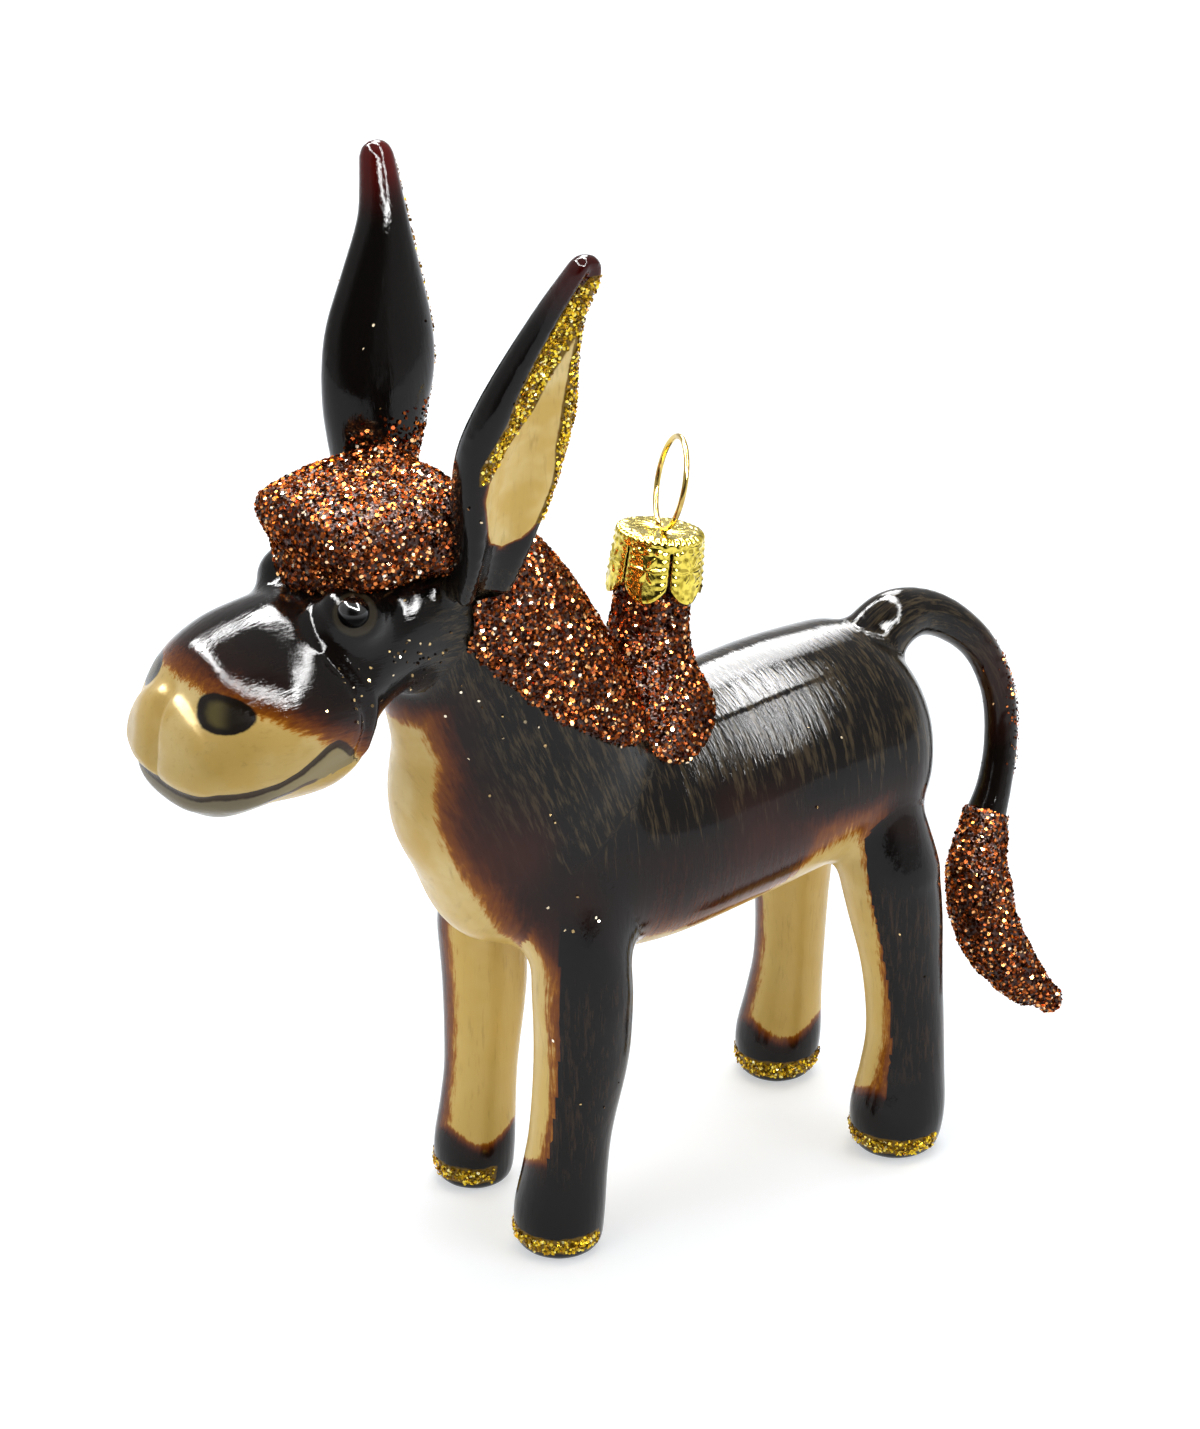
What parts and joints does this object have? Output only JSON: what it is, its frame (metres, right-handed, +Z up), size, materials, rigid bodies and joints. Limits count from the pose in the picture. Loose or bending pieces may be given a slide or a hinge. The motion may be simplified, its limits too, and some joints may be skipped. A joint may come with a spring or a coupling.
{
  "type": "blown glass donkey ornament",
  "caption": "Hand-blown lacquered glass Christmas-tree ornament shaped as a standing donkey, with glitter mane, forelock and tail tuft, and a metal cap with a wire hanging loop.",
  "frame": {"origin": "centre of the bounding box in X and Y, at the level of the hooves' flats on the floor", "axes": "+Z up; the donkey faces -X; its left side is -Y; the tail is at +X and its tuft swings towards -Y"},
  "size_m": [0.1188, 0.0458, 0.1303],
  "materials": {
    "trunk_glass": "dark brown translucent lacquer over gold-cream silvering, glossy",
    "neck_glass": "dark brown lacquer with a cream throat, glossy",
    "head_glass": "dark brown lacquer fading through amber into a cream muzzle, glossy",
    "jaw_glass": "cream lacquer with a grey painted lip, glossy",
    "ear_glass": "near-black brown lacquer, cream inside, glossy",
    "leg_glass": "dark brown lacquer outside, cream inside and in front, glossy",
    "hoof_glass": "dark brown lacquer with a gold glitter rim, glossy",
    "tail_glass": "dark brown lacquer, glossy",
    "eye_bead": "black enamel bead, very glossy",
    "copper_glitter": "coarse copper-brown glitter in clear glue",
    "cap_tin": "thin gold-coloured tin with embossed petals",
    "hanger_wire": "polished gold-coloured spring wire"
  },
  "bodies": {
    "root": {"trunk": "trunk_glass", "neck": "neck_glass", "head": "head_glass", "jaw": "jaw_glass", "ear_left": "ear_glass", "ear_right": "ear_glass", "leg_front_left": "leg_glass", "leg_front_right": "leg_glass", "leg_hind_left": "leg_glass", "leg_hind_right": "leg_glass", "hoof_front_left": "hoof_glass", "hoof_front_right": "hoof_glass", "hoof_hind_left": "hoof_glass", "hoof_hind_right": "hoof_glass", "tail_root": "tail_glass", "tail_shaft": "tail_glass", "eye_left": "eye_bead", "eye_right": "eye_bead", "forelock": "copper_glitter", "mane": "copper_glitter", "tail_tuft": "copper_glitter", "hanger_stem": "copper_glitter", "hanger_cap": "cap_tin", "hanger_wire": "hanger_wire"}
  },
  "joints": []
}
